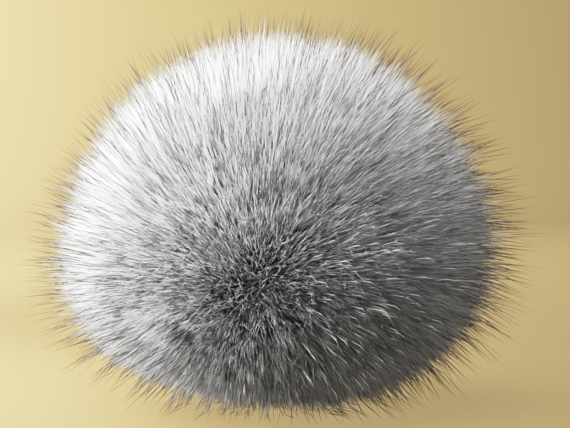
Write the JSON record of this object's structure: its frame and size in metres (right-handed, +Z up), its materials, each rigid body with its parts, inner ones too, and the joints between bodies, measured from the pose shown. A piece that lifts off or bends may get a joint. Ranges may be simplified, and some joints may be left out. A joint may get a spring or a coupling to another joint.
{
  "type": "fur pom pom",
  "caption": "Round ball of long silver-grey fur in soft locks that fan out from a small gathered ball of pelt, flat where it rests.",
  "frame": {"origin": "middle of the underside, where the fur's short locks stand on the surface", "axes": "+Z up, -Y towards the picture's viewer, +X to the viewer's right"},
  "size_m": [0.0822, 0.0816, 0.0665],
  "materials": {
    "fur": "long soft silver-grey fur, near white where the hair is pale and darker at the guard hairs' tips"
  },
  "bodies": {
    "root": {"fur_pom_pom": "fur"}
  },
  "joints": []
}
